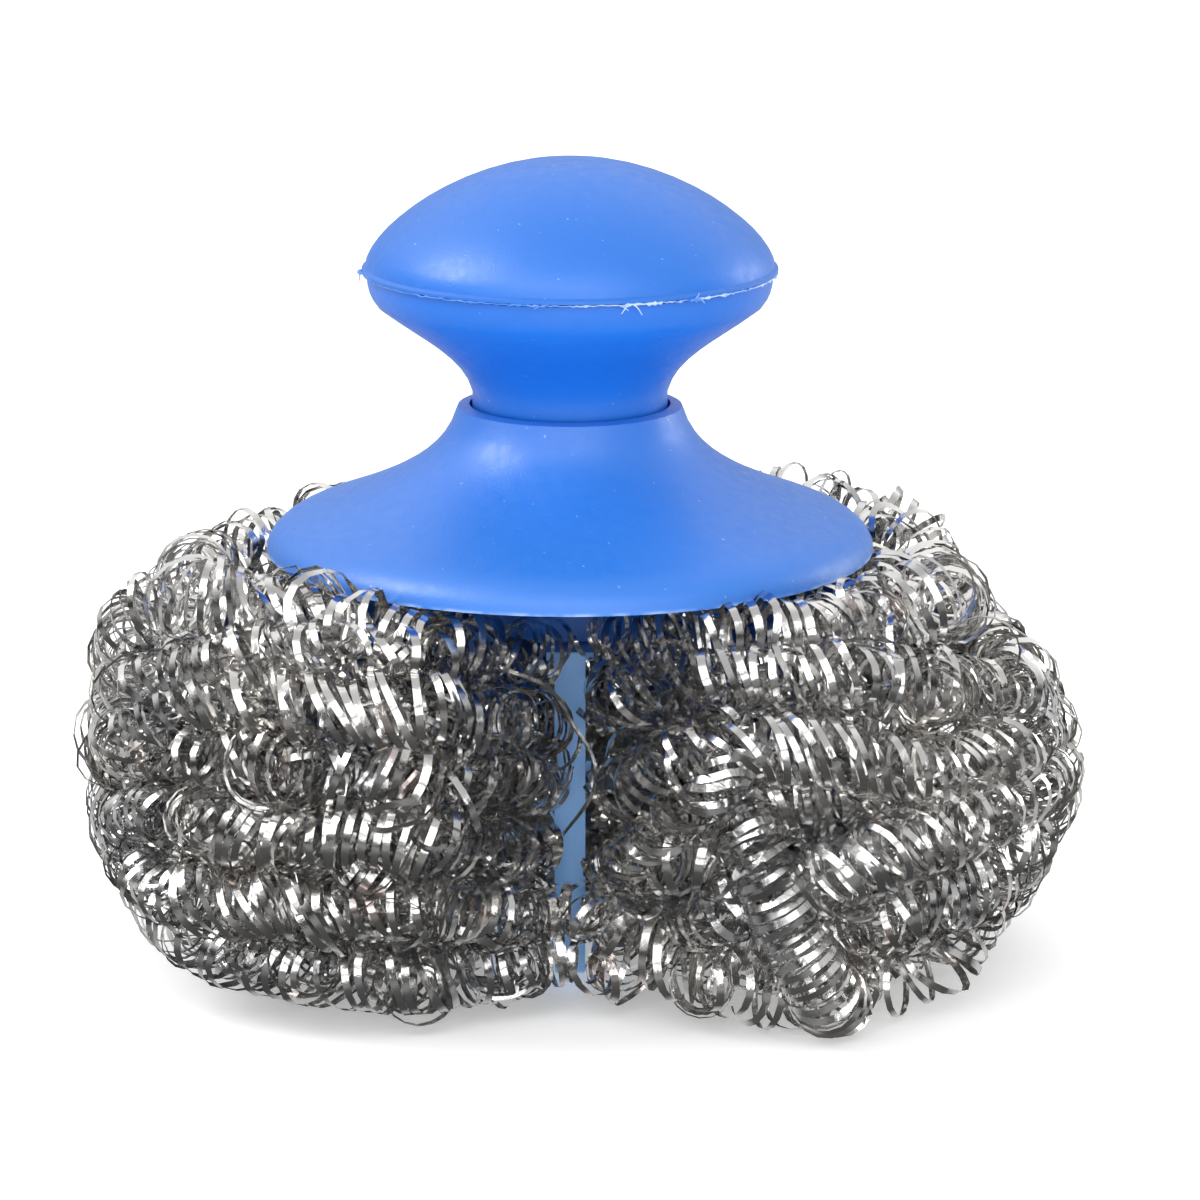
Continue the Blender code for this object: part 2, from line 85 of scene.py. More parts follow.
# The rope's route, in mm, as the hank's own solid has it
HALF_LENGTH, HALF_DEPTH = 50.0, 36.0
END_TAPER, TAPER_POWER = 0.16, 2.2
TURNS_HIGH = 6
TOP_TURN = TURNS_HIGH - 1
ROPE_RADIUS, ROPE_GAP = 3.25, 0.75
STRAND_RADIUS, STRAND_GAP = 2.2, 0.6
LAYER_INSET, LAYER_LAG, LAYER_THINNING = 3.0, 5.0, 0.06
WAIST_HEIGHT = 4.0
SPREAD_START, SPREAD_LENGTH = 4.5, 11.0
INNER_FAN_START, FAN_LENGTH = 7.2, 12.0
SWELL_LAG, SWELL_LENGTH = 4.0, 9.0
CLIMB_REACH = 37.0
FRONT_MIDDLE = math.radians(270.0)
DESCENT_START = math.radians(100.0)
DESCENT_SWEEP = math.radians(160.0)
ROPE_PITCH = 2 * ROPE_RADIUS + ROPE_GAP
STRAND_PITCH = 2 * STRAND_RADIUS + STRAND_GAP
LOWEST_ROPE = 0.8 * ROPE_RADIUS
INNER_COLUMN = STRAND_RADIUS + STRAND_GAP
OUTER_COLUMN = INNER_COLUMN + STRAND_PITCH
ROUTE_START = math.radians(-8.0)
ROUTE_END = math.radians(98.0) + FULL_TURN * (2 * TURNS_HIGH - 1)
ROUTE_POINTS = 3000

# Where the scene's rope departs from that route, in mm. Of a pair of places,
# a change begins at the first and is complete at the second
RUN_DEPTH, DEPTH_REGAINED, DEPTH_PLACES = 0.70, 0.30, (33.0, 46.0)
ROUTE_WANDER, ROUTE_WANDER_LENGTH, ROUTE_WANDER_PLACES = (0.8, 1.3, 1.0), 14.0, (9.0, 20.0)
RIGHT_SHIFT, SHIFT_PLACES = 0.8, (10.0, 40.0)
LOW_LEFT_LIFT, LIFT_PLACES, LIFT_HEIGHTS = 2.2, (5.0, 20.0), (4.0, 14.0)

# Spiral strip, in mm, and how many sections make one turn of it
STRIP_WIDTH = 0.72
STRIP_CROWN = 0.12
SEGMENTS = 16
LEAST_SECTIONS = 6
COIL_RADIUS = 3.45
LINE_STEP, LEAST_STEPS = 0.4, 8

# How a rope's strip is wound: spacing and lean of its turns and how uneven they are,
# then the rope's size, and the strip's own twist, tip and number of strands
ROUTE_WINDING = dict(pitch=1.45, lean=0.42, loose=1.0)
END_ON_WINDING = dict(pitch=1.5, lean=0.22, loose=0.7)
WINDINGS = {
    "plain": dict(pitch=1.50, lean=0.44, loose=0.90, size=1.00),
    "even": dict(pitch=1.45, lean=0.40, loose=0.66, size=0.97),
    "open": dict(pitch=1.85, lean=0.50, loose=0.45, size=1.00),
    "drawn": dict(pitch=10.0, lean=0.05, loose=0.16, size=0.68, twist=2.2, strands=7),
    "tight": dict(pitch=1.02, lean=0.10, loose=0.26, size=1.00, twist=1.8, tip=0.36),
}

# Unevenness of a winding, as (size, length over which it changes in mm): of the turns' spacing,
# radius, lean and direction of lean, of their roundness, and of their centre
NOISE_SPREAD = 0.6
SPACING_NOISE = ((0.35, 9.0), (0.55, 2.2))
RADIUS_NOISE = ((0.16, 1.4), (0.10, 11.0))
LEAN_NOISE = ((0.6, 7.0), (0.8, 1.6))
DIRECTION_NOISE = ((2.4, 12.0), (1.0, 2.0))
OVAL_SIZE, OVAL_LENGTH = 0.16, 3.0
CENTRE_SIZE, CENTRE_LENGTH = 0.70, 2.4
CLOSEST, WIDEST = 0.68, 2.6

# The same from one turn to the next, with lengths in sections: of radius, lean, direction, roll and width
TURN_LENGTH = 0.8 * SEGMENTS
RADIUS_BY_TURN, LEAN_BY_TURN, DIRECTION_BY_TURN = 0.10, 0.5, 0.7
ROLL_NOISE = ((0.50, TURN_LENGTH), (0.30, 2.6))
WIDTH_SIZE, WIDTH_LENGTH = 0.16, 30.0

# The table and the base's underside press the strip softly, and past the rim the roof over it rises. In mm
SOFTNESS = 0.35
ROOF_HEIGHT, ROOF_RISE, ROOF_EDGE = 42.0, 12.0, (30.2, 33.5)

# Ropes that show in front: how far each stands proud, its winding, and its centre line as (x, z) in mm
FRONT_ROPES = [
    (0.0, "plain", [(-2.4, 35.0), (-8.6, 37.8), (-15.5, 39.7), (-22.1, 40.6), (-26.9, 41.0)]),
    (0.0, "plain", [(-25.4, 40.2), (-31.7, 41.2), (-37.1, 40.8), (-41.8, 38.0), (-44.9, 33.4)]),
    (1.0, "plain", [(-9.5, 35.8), (-13.1, 38.3), (-20.6, 38.6), (-28.5, 37.6), (-36.4, 35.0),
                    (-41.9, 31.3)]),
    (2.0, "even", [(-1.9, 28.1), (-7.6, 31.1), (-13.0, 33.4), (-22.7, 33.6), (-31.2, 34.0),
                   (-39.0, 30.4), (-43.4, 26.3)]),
    (0.5, "plain", [(-1.9, 20.7), (-8.3, 25.4), (-17.9, 27.6), (-26.2, 27.5)]),
    (0.0, "plain", [(-27.7, 27.5), (-34.5, 28.0), (-40.2, 27.5), (-44.3, 23.4)]),
    (1.0, "even", [(-1.7, 15.3), (-7.7, 18.2), (-13.1, 21.0), (-22.8, 21.6), (-33.1, 21.5),
                   (-40.3, 20.9), (-44.8, 17.2)]),
    (1.0, "even", [(-2.4, 8.8), (-7.7, 11.4), (-13.2, 14.2), (-26.5, 14.3), (-35.1, 13.7),
                   (-41.7, 14.3), (-44.2, 14.8)]),
    (0.0, "open", [(-2.9, 4.6), (-7.8, 4.7), (-13.4, 6.0), (-23.5, 6.6), (-31.7, 7.4),
                   (-36.7, 8.8), (-40.3, 10.6)]),
    (0.0, "even", [(2.9, 36.9), (7.5, 38.1), (15.8, 39.9), (23.2, 40.0), (26.9, 40.4)]),
    (1.5, "plain", [(27.2, 40.9), (29.3, 41.8), (35.0, 41.6), (38.0, 40.2)]),
    (0.5, "plain", [(3.5, 30.1), (9.2, 34.9), (17.4, 37.0), (25.8, 36.2), (32.7, 34.2),
                    (40.1, 32.7), (45.4, 28.1)]),
    (3.8, "drawn", [(2.9, 13.7), (6.6, 18.6), (10.6, 24.2), (14.0, 28.0), (17.6, 30.6)]),
    (3.5, "open", [(11.6, 27.2), (15.6, 30.3), (18.9, 30.6), (24.3, 30.1), (32.5, 27.9),
                   (39.4, 27.2), (44.5, 27.0)]),
    (3.5, "open", [(18.7, 17.0), (22.5, 17.6), (29.2, 19.4), (36.3, 21.2), (43.9, 22.4),
                   (48.0, 20.6)]),
    ((1.0, 6.5), "tight", [(15.6, 23.4), (18.5, 18.2), (20.6, 13.2), (22.5, 9.0), (24.4, 4.9),
                           (25.6, 2.6)]),
    (1.0, "open", [(2.9, 11.1), (6.8, 9.0), (9.3, 7.8), (14.4, 5.7), (21.2, 3.6), (28.0, 3.2)]),
    (0.5, "even", [(26.6, 11.0), (33.1, 12.3), (38.5, 13.3), (42.8, 14.8), (46.6, 12.7)]),
    (0.0, "open", [(24.8, 4.2), (31.8, 4.0), (37.2, 6.2), (42.0, 8.7)]),
    (0.0, "plain", [(3.5, 21.5), (7.6, 24.6), (12.2, 30.3), (17.7, 32.5)]),
    (0.0, "even", [(6.8, 15.6), (12.3, 19.1), (16.5, 17.0), (12.4, 11.6)]),
    (5.4, "even", [(-6.4, 5.2), (-3.2, 5.8), (0.2, 6.0), (3.2, 5.4), (6.2, 4.2)]),
    (5.0, "even", [(-5.6, 9.8), (-2.6, 10.6), (0.6, 11.0), (3.6, 10.4), (6.4, 9.2)]),
]
# How such a rope wanders and how its ends tuck in, in mm, and its size at the waist and past it
FACE_WANDER, FACE_WANDER_LENGTH = (0.5, 0.6, 0.5), 9.0
END_TUCK, TUCK_LENGTH = 3.5, 5.0
WAIST_SIZE, SIZE_REGAINED, SIZE_PLACES = 0.80, 0.20, (1.0, 9.0)

# The same ropes make the hidden back, turned half round and stirred more, without the highest
FACES = (("coil_front", -1, 0.6), ("coil_back", 1, 1.4))
BACK_HIGHEST = 41.5

# The hank's face in mm: its depth at mid height and how it curves back above and below,
# the depth of the notch at the strap, and the lobes, from their start to their outer ends
FACE_DEPTH, FACE_CURVE, FACE_MIDDLE, FACE_HALF_HEIGHT = 31.0, 6.0, 24.0, 18.0
NOTCH_DEPTH = 14.5
LOBE_START, LOBE_LENGTH, LOBE_POWER = 14.0, 33.0, 2.2

# Turns seen end on: x, z and radius in mm, how far out each starts, and where it leads to in x and z
END_ON_COILS = [
    (-2.2, 28.0, 3.1, 18.0, -3.0, -0.5), (-3.0, 23.8, 3.4, 17.5, -3.0, -1.0),
    (6.5, 25.4, 3.4, 19.5, 2.0, 0.5), (-4.0, 17.5, 2.7, 18.0, -2.0, 0.5),
    (4.4, 8.6, 2.6, 19.0, 1.5, 1.0), (4.6, 4.4, 2.7, 19.5, 1.0, 0.5),
    (-24.8, 28.2, 4.1, 32.5, -5.0, 0.5), (27.4, 40.4, 3.5, 25.0, 2.0, 0.3),
    (45.0, 27.1, 3.2, 13.0, -2.0, 0.0), (-40.0, 17.7, 3.3, 22.0, 3.0, 0.5),
    (-34.9, 22.5, 3.2, 28.5, 2.0, -0.5), (-29.2, 29.2, 3.0, 31.0, 2.5, 0.5),
    (-19.9, 19.9, 2.8, 34.5, 2.5, 0.5), (-25.4, 8.2, 3.3, 28.0, 2.0, 0.5),
    (-14.4, 4.4, 3.0, 26.0, -2.0, 0.5), (34.0, 33.9, 3.1, 27.5, 2.0, -0.5),
    (12.5, 4.4, 3.0, 25.0, 2.0, 0.5), (-9.5, 26.4, 3.2, 27.0, -2.0, 0.5),
    (48.2, 17.8, 3.0, 9.0, -1.5, 0.3),
]
# How much of its way across and up lies before its bend, and how deep its bend and its end lie, in mm
BEND_SHARE, BEND_DEPTH, END_ON_DEPTH = 0.3, 3.2, 7.5

# Lengths of strip that lie free in front: how far proud, how far turned over at each end, and (x, z) in mm
FREE_STRIPS = [
    (4.6, (0.3, 0.9), [(-19.3, 23.6), (-17.1, 23.5), (-14.7, 24.2), (-12.8, 25.0)]),
    (4.8, (0.2, 0.7), [(-14.7, 22.1), (-12.3, 21.5), (-10.2, 22.1), (-8.8, 23.9)]),
    (5.0, (0.5, 0.1), [(-12.2, 21.3), (-9.1, 19.5), (-6.4, 19.3), (-4.5, 19.7)]),
    (4.6, (0.0, 0.6), [(-8.3, 18.7), (-5.9, 16.9), (-2.5, 15.5)]),
    (4.2, (0.2, 0.8), [(-4.6, 15.9), (-2.8, 13.8), (-1.3, 12.5)]),
    (4.4, (0.9, 0.2), [(-32.3, 34.5), (-30.6, 33.3), (-28.1, 32.1)]),
    (5.6, (0.4, 1.3), [(-6.7, 36.1), (-2.2, 33.3), (0.0, 29.9), (2.3, 26.1), (2.0, 22.5), (-0.6, 17.9)]),
    (4.6, (1.2, 1.4), [(-20.0, 14.3), (-17.8, 16.6), (-14.5, 16.0), (-12.4, 13.4)]),
    (4.4, (1.3, 1.0), [(-34.9, 36.4), (-32.1, 38.1), (-29.3, 38.2)]),
    (5.2, (0.3, 0.0), [(13.5, 21.0), (16.1, 22.8), (19.3, 23.7)]),
    (6.0, (0.2, 0.6), [(24.8, 14.5), (27.1, 14.1), (29.5, 14.4)]),
    (5.0, (0.1, 0.7), [(4.7, 12.1), (6.9, 12.1), (8.9, 13.9)]),
    (2.0, (0.2, 0.9), [(46.0, 25.8), (49.4, 23.2), (51.2, 20.2)]),
]
FREE_END_TUCK = 2.5

# Loose loops, in mm: how many are tried, where they may start, how far from the strap, where the front
# stays free of them, how proud they stand, which ways they spring, their length, their radius,
# the room they need as a multiple of it, and their winding
LOOP_COUNT = 170
LOOP_X, LOOP_Z, LOOP_FROM_STRAP = (-43.0, 45.0), (7.0, 38.0), 7.0
LOOP_FREE_X, LOOP_FREE_BELOW = (2.0, 30.0), 31.0
LOOP_PROUD = (-1.0, 1.5)
LOOP_WAYS = ((1.0, 1.0, 0.7), (0.4, 1.6, 0.3))
LOOP_LENGTH, LOOP_RADIUS, LOOP_ROOM = (0.8, 3.0), (2.4, 4.0), 1.3
LOOP_PITCH, LOOP_LEAN, LOOP_LOOSE = (0.9, 1.8), 0.3, 0.8

# The hank's outline from in front, left and right, in mm: half widths at some heights,
# and heights at some places out. Ropes past it are drawn back by most of what they stand out
HEIGHTS = (2.0, 6.0, 12.0, 20.0, 29.0, 35.0, 39.0, 43.0)
LEFT_WIDTHS = (40.5, 44.3, 47.3, 47.6, 48.3, 46.5, 42.5, 38.5)
RIGHT_WIDTHS = (41.5, 44.8, 48.4, 51.6, 48.0, 42.0, 39.0, 36.5)
PLACES_OUT = (28.0, 30.0, 33.0, 36.0, 39.0, 41.0, 43.5, 45.5, 47.5)
LEFT_TOPS = (60.0, 48.0, 46.0, 44.6, 43.0, 41.0, 38.6, 36.0, 31.5)
RIGHT_TOPS = (60.0, 49.0, 46.8, 44.2, 40.8, 38.4, 34.6, 31.5, 29.0)
DRAWN_BACK = 0.85

# The weld's flash, in mm, with places round the knob in degrees and spreads in radians: a bead that is
# more uneven at the right front, a tab at the left, and whiskers, each with where it leads, across and up
WELD_RADIUS, WELD_HEIGHT, WELD_THICKNESS, WELD_WAVER = 20.28, 69.98, 0.07, 0.03
WELD_STEPS, WELD_SIDES = 420, 6
BEADING, BEADING_ADDED, BEADING_SHARE = 0.02, 0.10, 0.40
BEADING_PLACE, BEADING_SPREAD = 305.0, 0.75
TAB_PLACE, TAB_SPREAD, TAB_OUT, TAB_THICKNESS = 183.0, 0.03, 0.25, 0.20
WHISKERS = [(283.0, 0.9, -0.5), (285.5, -0.7, -0.8), (287.0, 0.8, -1.0), (305.0, 0.5, 0.6),
            (306.5, 0.6, -0.4), (184.0, 0.4, -0.9), (262.0, -0.5, -0.3)]
WHISKER_ROOT, WHISKER_THICKNESS, WHISKER_TIP = 20.25, 0.07, 0.04
# How far out a whisker stands at its bend and at its end, and how much of its way across and up
# lies before the bend
BEND_OUT, END_OUT, BEND_ACROSS, BEND_UP = 0.30, 0.25, 0.45, 0.3

# Folds of the mouldings over this angle stay sharp, and points within this distance, in m, are joined
SHARP_FOLD = math.radians(32.0)
JOIN_DISTANCE = 1e-6

# Plastic: the dust's specks, the rim's rubbed edge with its half width in mm, the ripple against the grain,
# and how far each way from the middle the weld's ramp of colour reaches, in mm
SPECK_COLOUR, SPECK_STRENGTH = (0.45, 0.62, 0.92), 0.40
EDGE_COLOUR, EDGE_STRENGTH, EDGE_HALF_WIDTH = (0.45, 0.62, 0.95), 0.6, 0.35
RIPPLE_STRENGTH = 1.8
PALE_REACH = 21.0


def smooth_step(value, low, high):
    share = np.clip((value - low) / (high - low), 0.0, 1.0)
    return share * share * (3.0 - 2.0 * share)


def smooth_noise(rng, along, spacing):
    """A smooth random curve, about -1 to 1, with a new value every spacing."""
    knots = rng.normal(0.0, NOISE_SPREAD, int(along[-1] / spacing) + 4)
    place = along / spacing
    first = place.astype(int)
    share = smooth_step(place - first, 0.0, 1.0)
    return knots[first] * (1.0 - share) + knots[first + 1] * share


def noise_sum(rng, along, parts):
    """Smooth random curves added up, each given as (size, spacing)."""
    return sum(size * smooth_noise(rng, along, spacing) for size, spacing in parts)


def unit(vectors):
    return vectors / np.linalg.norm(vectors, axis=1)[:, None]


def lengths_along(points):
    """How far along a line each of its points lies."""
    return np.concatenate(([0.0], np.cumsum(np.linalg.norm(np.diff(points, axis=0), axis=1))))


# Materials

def add_ramp(tree, stops):
    """A ramp node with stops given as (position, grey)."""
    node = tree.nodes.new("ShaderNodeValToRGB")
    elements = node.color_ramp.elements
    while len(elements) < len(stops):
        elements.new(0.5)
    for element, (position, grey) in zip(elements, stops):
        element.position = position
        element.color = (grey, grey, grey, 1.0)
    return node


class Nodes:
    """A material's node tree, with short calls for the nodes used here."""

    def __init__(self, name):
        self.material = bpy.data.materials.new(name)
        self.material.use_nodes = True
        self.tree = self.material.node_tree
        self.shader = self.tree.nodes["Principled BSDF"]
        self.place = self.tree.nodes.new("ShaderNodeTexCoord").outputs["Object"]

    def put(self, socket, value):
        if isinstance(value, bpy.types.NodeSocket):
            self.tree.links.new(value, socket)
        else:
            socket.default_value = value

    def noise(self, scale, detail=2.0):
        """Noise with scale cells to a metre."""
        node = self.tree.nodes.new("ShaderNodeTexNoise")
        self.tree.links.new(self.place, node.inputs["Vector"])
        node.inputs["Scale"].default_value = scale
        node.inputs["Detail"].default_value = detail
        return node.outputs["Fac"]

    def place_on(self, axis):
        """The place along one axis of the object, in m."""
        node = self.tree.nodes.new("ShaderNodeSeparateXYZ")
        self.tree.links.new(self.place, node.inputs[0])
        return node.outputs[axis]

    def ramp(self, value, *stops):
        node = add_ramp(self.tree, stops)
        self.put(node.inputs["Fac"], value)
        return node.outputs["Color"]

    def mix(self, share, first, second):
        node = self.tree.nodes.new("ShaderNodeMix")
        node.data_type = 'RGBA'
        self.put(node.inputs["Factor"], share)
        for socket, value in ((node.inputs["A"], first), (node.inputs["B"], second)):
            self.put(socket, (*value, 1.0) if isinstance(value, tuple) else value)
        return node.outputs["Result"]

    def math(self, kind, first, second=0.0):
        node = self.tree.nodes.new("ShaderNodeMath")
        node.operation = kind
        self.put(node.inputs[0], first)
        self.put(node.inputs[1], second)
        return node.outputs[0]

    def bump(self, height, distance, strength):
        node = self.tree.nodes.new("ShaderNodeBump")
        node.inputs["Distance"].default_value = distance
        node.inputs["Strength"].default_value = strength
        self.put(node.inputs["Height"], height)
        self.put(self.shader.inputs["Normal"], node.outputs["Normal"])

    def set(self, **values):
        for name, value in values.items():
            self.put(self.shader.inputs[name.replace("_", " ")], value)


def plastic(name, colour, deep, rubbed_at=None):
    """Satin moulded plastic: clouding, fine grain, pale dust, and an edge rubbed pale at a height in mm."""
    n = Nodes(name)
    clouding, dust = n.noise(60.0, 3.0), n.noise(2300.0, 0.0)
    sheen, grain, ripple = n.noise(900.0, 4.0), n.noise(4200.0, 3.0), n.noise(250.0, 2.0)
    body = n.mix(n.ramp(clouding, (0.3, 0.0), (0.7, 1.0)), deep, colour)
    specks = n.ramp(dust, (0.85, 0.0), (0.88, 1.0))
    body = n.mix(n.math('MULTIPLY', specks, SPECK_STRENGTH), body, SPECK_COLOUR)
    if rubbed_at is not None:
        away = n.math('ABSOLUTE', n.math('SUBTRACT', n.place_on("Z"), rubbed_at * MM))
        edge = n.ramp(n.math('MULTIPLY', away, 1.0 / MM), (0.0, 1.0), (EDGE_HALF_WIDTH, 0.0))
        rubbing = n.ramp(n.noise(350.0, 2.0), (0.40, 0.0), (0.62, 1.0))
        ragged = n.math('MULTIPLY', rubbing, EDGE_STRENGTH)
        body = n.mix(n.math('MULTIPLY', edge, ragged), body, EDGE_COLOUR)
    roughness = n.ramp(sheen, (0.3, 0.36), (0.7, 0.48))
    n.set(Base_Color=body, Roughness=roughness, IOR=1.49, Specular_IOR_Level=0.7)
    relief = n.math('ADD', grain, n.math('MULTIPLY', ripple, RIPPLE_STRENGTH))
    n.bump(relief, distance=0.03 * MM, strength=0.8)
    return n.material


def steel(name):
    """Bright rolled strip, with faint warm and dull patches."""
    n = Nodes(name)
    dulling, warming = n.noise(90.0), n.noise(160.0, 1.0)
    polish, scuffs = n.noise(500.0, 3.0), n.noise(1500.0)
    tint = n.mix(n.ramp(dulling, (0.38, 0.0), (0.62, 1.0)), (0.57, 0.57, 0.57), (0.76, 0.745, 0.72))
    tint = n.mix(n.ramp(warming, (0.66, 0.0), (0.74, 0.5)), tint, (0.55, 0.40, 0.36))
    n.set(Base_Color=tint, Roughness=n.ramp(polish, (0.3, 0.12), (0.7, 0.24)), Metallic=1.0)
    n.bump(scuffs, distance=0.05 * MM, strength=0.6)
    return n.material


def weld_plastic(name):
    """Thin, ragged plastic squeezed out along the weld, stressed pale towards the right."""
    n = Nodes(name)
    stress, sheen = n.noise(500.0), n.noise(900.0)
    from_left = n.math('ADD', n.place_on("X"), PALE_REACH * MM)
    to_right = n.ramp(n.math('MULTIPLY', from_left, 1.0 / (2 * PALE_REACH * MM)), (0.40, 0.15), (0.62, 1.0))
    pale = n.math('MULTIPLY', to_right, n.ramp(stress, (0.34, 0.0), (0.54, 1.0)))
    colour = n.mix(pale, (0.03, 0.20, 0.70), (0.46, 0.62, 0.92))
    n.set(Base_Color=colour, Roughness=n.ramp(sheen, (0.3, 0.45), (0.7, 0.65)))
    return n.material


# Spiral strip

def carried_frames(points):
    """Unit tangents, and a normal carried along the line without twisting."""
    tangents = unit(np.gradient(points, axis=0))
    normals = np.empty_like(points)
    start = np.cross(tangents[0], (0.0, 0.0, 1.0))
    almost_upright = np.linalg.norm(start) < 0.1
    if almost_upright:
        start = np.cross(tangents[0], (1.0, 0.0, 0.0))
    normal = start / np.linalg.norm(start)
    for i, tangent in enumerate(tangents):
        normal = normal - tangent * normal.dot(tangent)
        normal /= np.linalg.norm(normal)
        normals[i] = normal
    return tangents, normals, np.cross(tangents, normals)


def resampled(points, radii):
    """Distances along a line, its points and its radii, at even steps."""
    lengths = lengths_along(points)
    along = np.linspace(0.0, lengths[-1], max(int(lengths[-1] / LINE_STEP), LEAST_STEPS) + 1)
    line = np.column_stack([np.interp(along, lengths, points[:, k]) for k in range(3)])
    return along, line, np.interp(along, lengths, radii)


def smooth_line(points, per_span=10):
    """Catmull-Rom curve through a few points."""
    points = np.asarray(points, float)
    ends = np.vstack((2 * points[0] - points[1], points, 2 * points[-1] - points[-2]))
    t = np.linspace(0.0, 1.0, per_span, endpoint=False)[:, None]
    spans = []
    for a, b, c, d in zip(ends, ends[1:], ends[2:], ends[3:]):
        spans.append(0.5 * (2 * b + (c - a) * t + (2 * a - 5 * b + 4 * c - d) * t ** 2
                            + (3 * b - a - 3 * c + d) * t ** 3))
    return np.vstack(spans + [points[-1:]])


def coil(rng, points, radii, pitch, lean, loose, twist=1.0, tip=0.0, start=0.0):
    """Sections of one strip wound round a line. Returns an array of (sections, 3 corners, xyz), in mm."""
    along, line, radius = resampled(points, radii)
    tangents, normals, others = carried_frames(line)
    spacing = np.clip(1.0 + loose * noise_sum(rng, along, SPACING_NOISE), CLOSEST, WIDEST)
    rate = 1.0 / (pitch * spacing)
    turns = np.concatenate(([0.0], np.cumsum(0.5 * (rate[1:] + rate[:-1]) * np.diff(along))))
    count = max(int(turns[-1] * SEGMENTS), LEAST_SECTIONS)
    at = np.interp(np.linspace(0.0, turns[-1], count + 1), turns, along)

    def on(values):
        """What is given along the line, at each section."""
        if values.ndim == 1:
            return np.interp(at, along, values)
        return np.column_stack([np.interp(at, along, values[:, k]) for k in range(3)])

    swell = 1.0 + loose * noise_sum(rng, along, RADIUS_NOISE)
    phase = on(FULL_TURN * turns) + start
    size = on(radius * swell)
    tilt = on(lean * (1.0 + loose * noise_sum(rng, along, LEAN_NOISE)))
    toward = on(rng.uniform(0.0, FULL_TURN) + loose * noise_sum(rng, along, DIRECTION_NOISE))
    oval = on(OVAL_SIZE * loose * smooth_noise(rng, along, OVAL_LENGTH))
    offset_a = on(CENTRE_SIZE * loose * smooth_noise(rng, along, CENTRE_LENGTH))
    offset_b = on(CENTRE_SIZE * loose * smooth_noise(rng, along, CENTRE_LENGTH))
    steps = np.arange(count + 1.0)
    size *= 1.0 + RADIUS_BY_TURN * loose * smooth_noise(rng, steps, TURN_LENGTH)
    tilt *= 1.0 + LEAN_BY_TURN * loose * smooth_noise(rng, steps, TURN_LENGTH)
    toward += DIRECTION_BY_TURN * loose * smooth_noise(rng, steps, TURN_LENGTH)
    roll = tip + twist * noise_sum(rng, steps, ROLL_NOISE)
    wide = STRIP_WIDTH * (1.0 + WIDTH_SIZE * smooth_noise(rng, steps, WIDTH_LENGTH))[:, None]
    centre, tangent, normal, other = on(line), on(tangents), on(normals), on(others)
    a = (size * (1.0 + oval) * np.cos(phase) + offset_a)[:, None]
    b = (size * (1.0 - oval) * np.sin(phase) + offset_b)[:, None]
    slip = (tilt * size * np.cos(phase - toward))[:, None]
    path = centre + a * normal + b * other + slip * tangent
    run = unit(np.gradient(path, axis=0))
    flat = unit(tangent - run * np.sum(tangent * run, axis=1)[:, None])
    out = np.cross(run, flat)
    radial = a * normal + b * other
    out *= np.sign(np.sum(out * radial, axis=1))[:, None]
    c, s = np.cos(roll)[:, None], np.sin(roll)[:, None]
    flat, out = c * flat + s * out, c * out - s * flat
    half = 0.5 * wide * flat
    return np.stack((path - half, path + half, path - STRIP_CROWN * out), axis=1)


def settled(corners):
    """Presses the strip flat on the table and keeps it under the base's rim, both softly. In mm."""
    corners = corners.copy()
    z = SOFTNESS * np.logaddexp(0.0, corners[..., 2] / SOFTNESS)
    reach = np.linalg.norm(corners[..., :2], axis=-1)
    roof = ROOF_HEIGHT + ROOF_RISE * smooth_step(reach, *ROOF_EDGE)
    corners[..., 2] = roof - SOFTNESS * np.logaddexp(0.0, (roof - z) / SOFTNESS)
    return corners


def strip_object(name, strips, material):
    """One mesh of closed three-sided strips, its long edges sharp."""
    vertices, faces, caps = [], [], []
    base = 0
    for strip in strips:
        strip = settled(strip)
        count = len(strip)
        vertices.append(strip.reshape(-1, 3))
        first = base + 3 * np.arange(count - 1)[:, None]
        sides = [np.concatenate((first + i, first + j, first + 3 + j, first + 3 + i), axis=1)
                 for i, j in ((1, 0), (2, 1), (0, 2))]
        faces.append(np.stack(sides, axis=1).reshape(-1, 4))
        last = base + 3 * (count - 1)
        caps += [(base, base + 1, base + 2), (last + 2, last + 1, last)]
        base += 3 * count
    vertices = np.vstack(vertices) * MM
    quads = np.vstack(faces)
    corners = np.concatenate((quads.ravel(), np.array(caps).ravel()))
    sizes = np.concatenate((np.full(len(quads), 4), np.full(len(caps), 3)))
    mesh = bpy.data.meshes.new(name)
    mesh.vertices.add(len(vertices))
    mesh.vertices.foreach_set("co", vertices.ravel())
    mesh.loops.add(len(corners))
    mesh.loops.foreach_set("vertex_index", corners)
    mesh.polygons.add(len(sizes))
    mesh.polygons.foreach_set("loop_start", np.concatenate(([0], np.cumsum(sizes)[:-1])))
    mesh.update(calc_edges=True)
    mesh.validate()
    ends = np.empty(2 * len(mesh.edges), int)
    mesh.edges.foreach_get("vertices", ends)
    ends = ends.reshape(-1, 2)
    # An edge that runs lengthwise joins the same corner of two sections
    lengthwise = (ends[:, 0] % 3) == (ends[:, 1] % 3)
    mesh.polygons.foreach_set("use_smooth", np.ones(len(mesh.polygons), bool))
    edge_flags = mesh.attributes.new("sharp_edge", 'BOOLEAN', 'EDGE')
    edge_flags.data.foreach_set("value", lengthwise)
    mesh.update()
    return linked_piece(name, mesh, material)


def linked_piece(name, mesh, material):
    """An object for a mesh, in the scene and with its material."""
    piece = bpy.data.objects.new(name, mesh)
    bpy.context.scene.collection.objects.link(piece)
    mesh.materials.append(material)
    return piece


# Routes of the ropes

